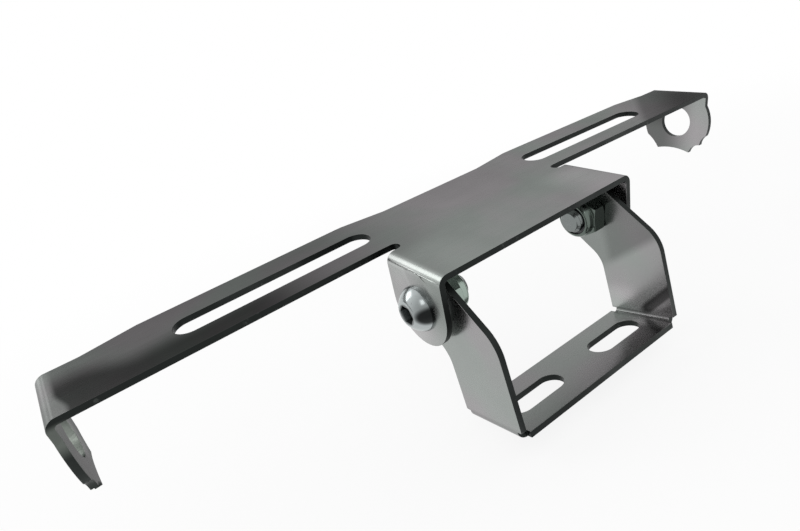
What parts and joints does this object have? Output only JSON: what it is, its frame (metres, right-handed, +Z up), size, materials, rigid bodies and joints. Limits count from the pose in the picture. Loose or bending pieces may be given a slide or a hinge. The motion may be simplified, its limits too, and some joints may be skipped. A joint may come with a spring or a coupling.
{
  "type": "license plate bracket",
  "caption": "Adjustable motorcycle number plate bracket: a folded slotted bar with bored end tabs, clamped by screws at its ears to a folded slotted foot.",
  "frame": {"origin": "middle of the foot's two slots, on the foot's underside", "axes": "+X along the bar to its right end seen from the front, +Y to the back, +Z up away from what the foot is bolted to"},
  "size_m": [0.201, 0.0516, 0.0462],
  "materials": {
    "plate_zinc": "bright zinc plate, smooth, faintly clouded",
    "foot_zinc": "bright zinc plate, smooth, faintly clouded",
    "screw_steel": "polished plated steel",
    "nut_steel": "bright zinc plate",
    "washer_steel": "dull zinc plate",
    "insert_nylon": "dark nylon"
  },
  "bodies": {
    "foot": {"foot_bracket": "foot_zinc"},
    "plate": {"upper_plate": "plate_zinc", "clamp_screw_left": "screw_steel", "clamp_screw_right": "screw_steel", "gap_washer_left": "washer_steel", "gap_washer_right": "washer_steel", "lock_nut_left": "nut_steel", "lock_nut_right": "nut_steel", "nut_insert_left": "insert_nylon", "nut_insert_right": "insert_nylon"}
  },
  "joints": [
    {"name": "plate_tilt", "type": "hinge", "parent": "foot", "child": "plate", "pos_m": [0, 0.0097, 0.0295], "axis": [1, 0, 0], "range_deg": [-118, 34]}
  ]
}
